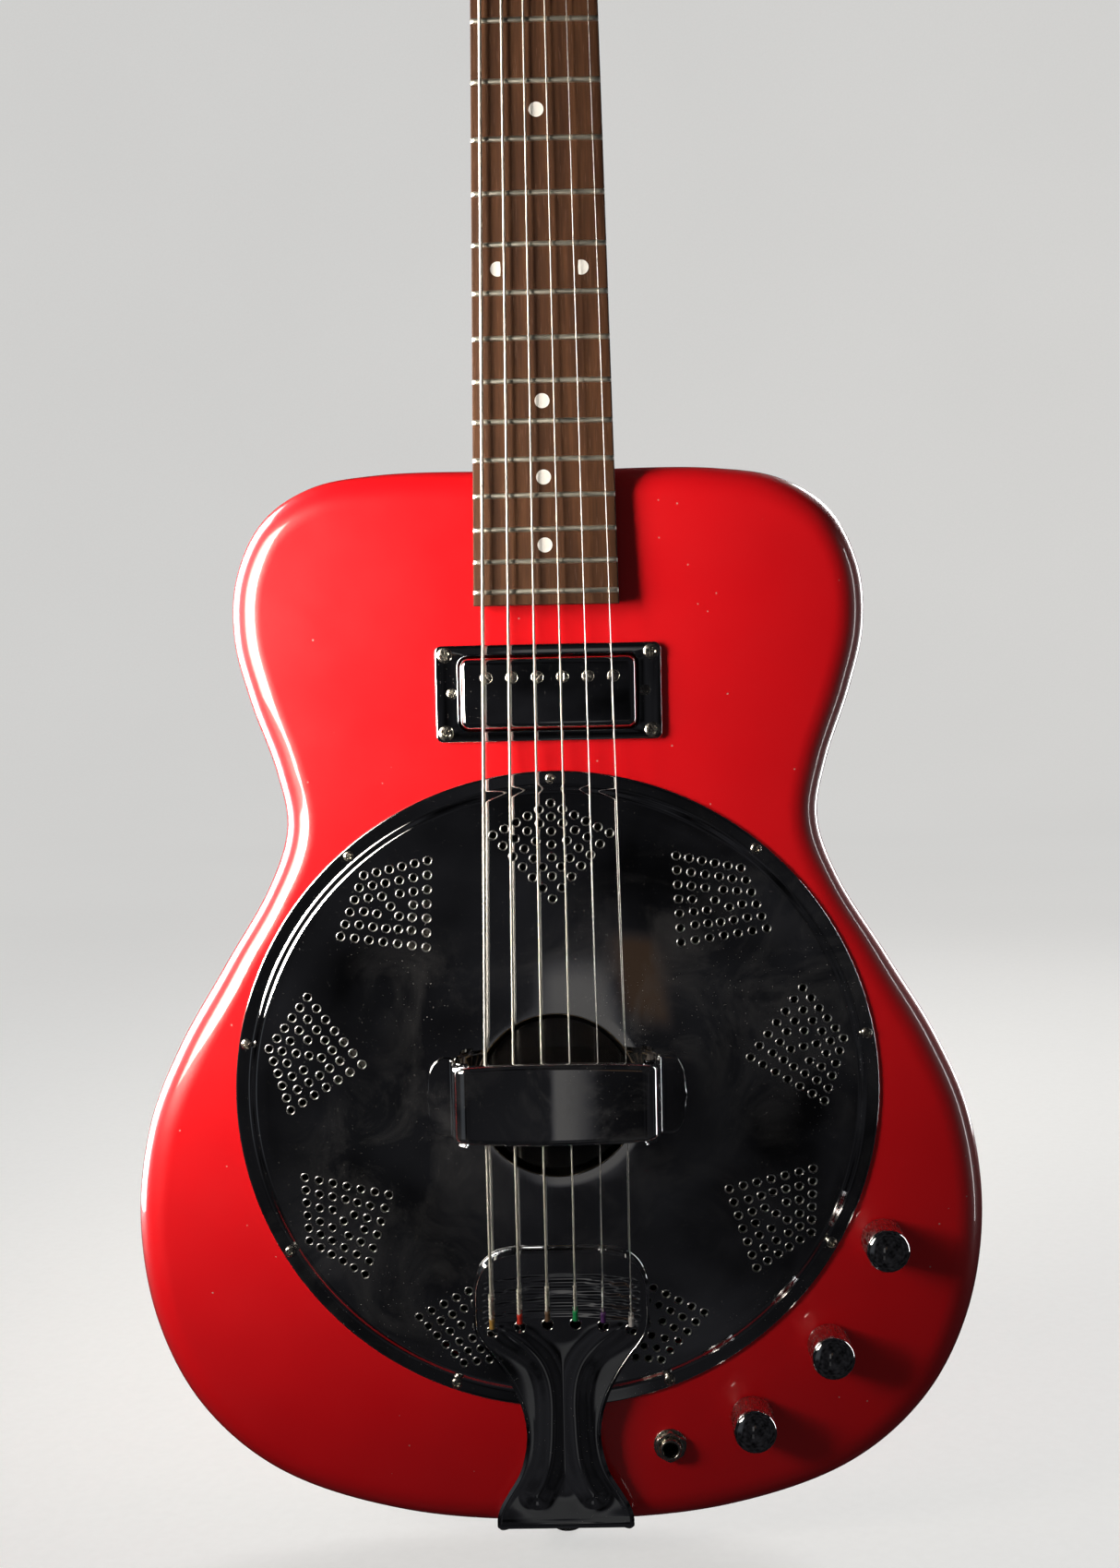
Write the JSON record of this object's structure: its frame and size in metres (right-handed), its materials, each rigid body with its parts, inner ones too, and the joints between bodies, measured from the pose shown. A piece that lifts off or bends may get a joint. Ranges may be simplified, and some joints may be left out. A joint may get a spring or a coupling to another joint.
{
  "type": "resonator guitar",
  "caption": "Electric-acoustic resonator guitar: rounded two-shell body, domed cover plate over a cone, hand rest, strap tailpiece, pickup, fretted neck and geared tuners.",
  "frame": {"origin": "on the outer back face of the body, straight behind the centre of the cone", "axes": "+Z along the body's centre line to the headstock, +Y out of the back, so the face and strings look to -Y; +X is the treble side, on the right seen from the front"},
  "size_m": [0.3578, 0.0942, 1.0243],
  "materials": {
    "red_lacquer": "gloss",
    "white_binding": "satin",
    "chrome": "mirror",
    "nickel": "polished",
    "wound_string": "wound",
    "plain_string": "polished",
    "aluminium": "satin",
    "steel": "satin",
    "rosewood": "open-grained satin",
    "neck_wood": "satin lacquer",
    "block_wood": "raw",
    "maple": "satin",
    "black_wood": "gloss",
    "bone": "polished",
    "button_plastic": "gloss"
  },
  "bodies": {
    "instrument": {"biscuit": "black_wood", "body_back_shell": "red_lacquer", "body_binding": "white_binding", "body_front_shell": "red_lacquer", "cover_plate": "chrome", "cover_screw_1": "chrome", "cover_screw_2": "chrome", "cover_screw_3": "chrome", "cover_screw_4": "chrome", "cover_screw_5": "chrome", "cover_screw_6": "chrome", "cover_screw_7": "chrome", "cover_screw_8": "chrome", "cover_screw_9": "chrome", "end_pin": "chrome", "fretboard": "rosewood", "hand_rest": "chrome", "heel_strap_button": "chrome", "jack_nut": "nickel", "jack_socket": "nickel", "neck": "neck_wood", "neck_block": "block_wood", "nut": "bone", "pickup": "chrome", "pickup_ring": "chrome", "pot_lower": "steel", "pot_middle": "steel", "pot_upper": "steel", "resonator_cone": "aluminium", "saddle": "maple", "sound_well": "aluminium", "string_1": "wound_string", "string_2": "wound_string", "string_3": "wound_string", "string_4": "plain_string", "string_5": "plain_string", "string_6": "plain_string", "tail_block": "block_wood", "tailpiece": "chrome", "tuner_plate_bass": "nickel", "tuner_plate_treble": "nickel"},
    "control_upper": {"knob_upper": "chrome", "pot_shaft_upper": "aluminium"},
    "control_middle": {"knob_middle": "chrome", "pot_shaft_middle": "aluminium"},
    "control_lower": {"knob_lower": "chrome", "pot_shaft_lower": "aluminium"},
    "tuner_button_1": {"tuner_button_1": "button_plastic"},
    "tuner_post_1": {"tuner_post_1": "nickel"},
    "tuner_button_2": {"tuner_button_2": "button_plastic"},
    "tuner_post_2": {"tuner_post_2": "nickel"},
    "tuner_button_3": {"tuner_button_3": "button_plastic"},
    "tuner_post_3": {"tuner_post_3": "nickel"},
    "tuner_button_4": {"tuner_button_4": "button_plastic"},
    "tuner_post_4": {"tuner_post_4": "nickel"},
    "tuner_button_5": {"tuner_button_5": "button_plastic"},
    "tuner_post_5": {"tuner_post_5": "nickel"},
    "tuner_button_6": {"tuner_button_6": "button_plastic"},
    "tuner_post_6": {"tuner_post_6": "nickel"}
  },
  "joints": [
    {"name": "control_upper_turn", "type": "hinge", "parent": "instrument", "child": "control_upper", "pos_m": [0.1338, -0.06, -0.0642], "axis": [0, -1, 0], "range_deg": [-150, 150]},
    {"name": "control_middle_turn", "type": "hinge", "parent": "instrument", "child": "control_middle", "pos_m": [0.111, -0.06, -0.1084], "axis": [0, -1, 0], "range_deg": [-150, 150]},
    {"name": "control_lower_turn", "type": "hinge", "parent": "instrument", "child": "control_lower", "pos_m": [0.0787, -0.06, -0.1386], "axis": [0, -1, 0], "range_deg": [-150, 150]},
    {"name": "tuner_button_1_turn", "type": "hinge", "parent": "instrument", "child": "tuner_button_1", "pos_m": [-0.0235, -0.02181, 0.67694], "axis": [-1, 0, 0], "continuous": true},
    {"name": "tuner_post_1_turn", "type": "hinge", "parent": "instrument", "child": "tuner_post_1", "pos_m": [-0.0235, -0.03775, 0.6894], "axis": [0, -0.9699, 0.2436], "continuous": true},
    {"name": "tuner_button_2_turn", "type": "hinge", "parent": "instrument", "child": "tuner_button_2", "pos_m": [-0.0235, -0.01206, 0.71574], "axis": [-1, 0, 0], "continuous": true},
    {"name": "tuner_post_2_turn", "type": "hinge", "parent": "instrument", "child": "tuner_post_2", "pos_m": [-0.0235, -0.02801, 0.72819], "axis": [0, -0.9699, 0.2436], "continuous": true},
    {"name": "tuner_button_3_turn", "type": "hinge", "parent": "instrument", "child": "tuner_button_3", "pos_m": [-0.0235, -0.00232, 0.75453], "axis": [-1, 0, 0], "continuous": true},
    {"name": "tuner_post_3_turn", "type": "hinge", "parent": "instrument", "child": "tuner_post_3", "pos_m": [-0.0235, -0.01826, 0.76699], "axis": [0, -0.9699, 0.2436], "continuous": true},
    {"name": "tuner_button_4_turn", "type": "hinge", "parent": "instrument", "child": "tuner_button_4", "pos_m": [0.0235, -0.00232, 0.75453], "axis": [1, 0, 0], "continuous": true},
    {"name": "tuner_post_4_turn", "type": "hinge", "parent": "instrument", "child": "tuner_post_4", "pos_m": [0.0235, -0.01826, 0.76699], "axis": [0, -0.9699, 0.2436], "continuous": true},
    {"name": "tuner_button_5_turn", "type": "hinge", "parent": "instrument", "child": "tuner_button_5", "pos_m": [0.0235, -0.01206, 0.71574], "axis": [1, 0, 0], "continuous": true},
    {"name": "tuner_post_5_turn", "type": "hinge", "parent": "instrument", "child": "tuner_post_5", "pos_m": [0.0235, -0.02801, 0.72819], "axis": [0, -0.9699, 0.2436], "continuous": true},
    {"name": "tuner_button_6_turn", "type": "hinge", "parent": "instrument", "child": "tuner_button_6", "pos_m": [0.0235, -0.02181, 0.67694], "axis": [1, 0, 0], "continuous": true},
    {"name": "tuner_post_6_turn", "type": "hinge", "parent": "instrument", "child": "tuner_post_6", "pos_m": [0.0235, -0.03775, 0.6894], "axis": [0, -0.9699, 0.2436], "continuous": true}
  ],
  "couplings": [
    {"joint": "tuner_post_1_turn", "follows": "tuner_button_1_turn", "ratio": 0.071429},
    {"joint": "tuner_post_2_turn", "follows": "tuner_button_2_turn", "ratio": 0.071429},
    {"joint": "tuner_post_3_turn", "follows": "tuner_button_3_turn", "ratio": 0.071429},
    {"joint": "tuner_post_4_turn", "follows": "tuner_button_4_turn", "ratio": 0.071429},
    {"joint": "tuner_post_5_turn", "follows": "tuner_button_5_turn", "ratio": 0.071429},
    {"joint": "tuner_post_6_turn", "follows": "tuner_button_6_turn", "ratio": 0.071429}
  ]
}
